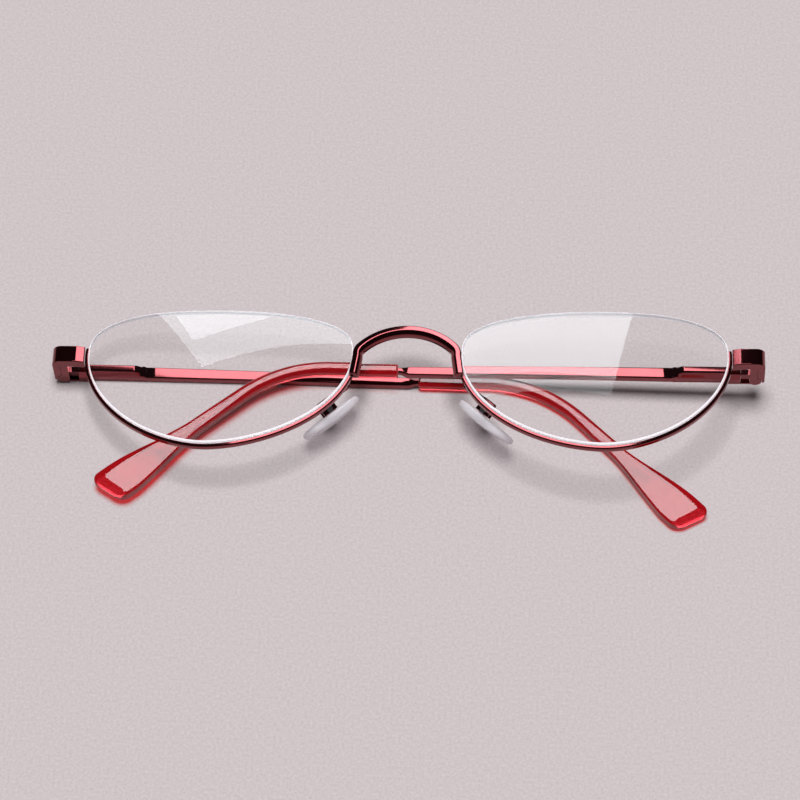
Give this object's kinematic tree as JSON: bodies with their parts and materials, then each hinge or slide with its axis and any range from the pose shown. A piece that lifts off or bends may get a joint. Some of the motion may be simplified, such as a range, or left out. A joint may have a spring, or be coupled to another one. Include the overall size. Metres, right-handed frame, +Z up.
{
  "type": "half-rim reading glasses",
  "caption": "Half-rim reading glasses, folded: half-moon lenses with a bare top edge, metal lower rims, arched bridge, nose pads on wire arms, spring-hinged temples with clear red tips.",
  "frame": {"origin": "middle of the folded glasses' width and height, on the surface that they lie on", "axes": "+X from the outer temple's hinge to the other hinge, +Y to the top of the glasses, +Z up from the table, towards what the wearer looks at"},
  "size_m": [0.132, 0.0386, 0.0153],
  "materials": {
    "red_plated_metal": "gloss",
    "dark_plated_metal": "gloss",
    "steel": "satin",
    "lens_plastic": "clear, polished",
    "nylon": "clear",
    "clear_pad_plastic": "clear, soft gloss",
    "clear_red_plastic": "clear, polished"
  },
  "bodies": {
    "front": {"rim_left": "red_plated_metal", "lens_left": "lens_plastic", "nylon_line_left": "nylon", "rim_right": "red_plated_metal", "lens_right": "lens_plastic", "nylon_line_right": "nylon", "bridge": "dark_plated_metal", "endpiece_left": "dark_plated_metal", "front_hinge_left": "dark_plated_metal", "hinge_screw_left": "steel", "pad_arm_left": "dark_plated_metal", "pad_box_left": "dark_plated_metal", "pad_screw_left": "steel", "endpiece_right": "dark_plated_metal", "front_hinge_right": "dark_plated_metal", "hinge_screw_right": "steel", "pad_arm_right": "dark_plated_metal", "pad_box_right": "dark_plated_metal", "pad_screw_right": "steel"},
    "slider_left": {"hinge_slider_left": "steel"},
    "temple_left": {"hinge_spring_left": "steel", "spring_ring_left": "steel", "spring_box_left": "red_plated_metal", "temple_arm_left": "red_plated_metal", "temple_tip_left": "clear_red_plastic"},
    "pad_left": {"nose_pad_left": "clear_pad_plastic"},
    "slider_right": {"hinge_slider_right": "steel"},
    "temple_right": {"hinge_spring_right": "steel", "spring_ring_right": "steel", "spring_box_right": "red_plated_metal", "temple_arm_right": "red_plated_metal", "temple_tip_right": "clear_red_plastic"},
    "pad_right": {"nose_pad_right": "clear_pad_plastic"}
  },
  "joints": [
    {"name": "temple_fold_left", "type": "hinge", "parent": "front", "child": "slider_left", "pos_m": [-0.06415, 0.0107, 0.0017], "axis": [0, 1, 0], "range_deg": [0, 87.67]},
    {"name": "temple_spring_left", "type": "slide", "parent": "slider_left", "child": "temple_left", "axis": [1, 0, 0], "range_m": [0, 0.001], "stiffness_N_per_m": 1650, "springref_m": -0.001, "deforming": ["hinge_spring_left"]},
    {"name": "temple_fold_right", "type": "hinge", "parent": "front", "child": "slider_right", "pos_m": [0.06434, 0.0107, 0.00693], "axis": [0, -1, 0], "range_deg": [0, 90.33]},
    {"name": "temple_spring_right", "type": "slide", "parent": "slider_right", "child": "temple_right", "axis": [-0.9994, 0, -0.0349], "range_m": [0, 0.001], "stiffness_N_per_m": 1650, "springref_m": -0.001, "deforming": ["hinge_spring_right"]},
    {"name": "pad_tilt_left", "type": "hinge", "parent": "front", "child": "pad_left", "pos_m": [-0.01435, 0.0016, 0.00503], "axis": [0.2128, -0.2784, 0.9366], "range_deg": [-10, 10]},
    {"name": "pad_tilt_right", "type": "hinge", "parent": "front", "child": "pad_right", "pos_m": [0.01443, 0.0016, 0.0062], "axis": [-0.2881, -0.2784, 0.9162], "range_deg": [-10, 10]}
  ]
}
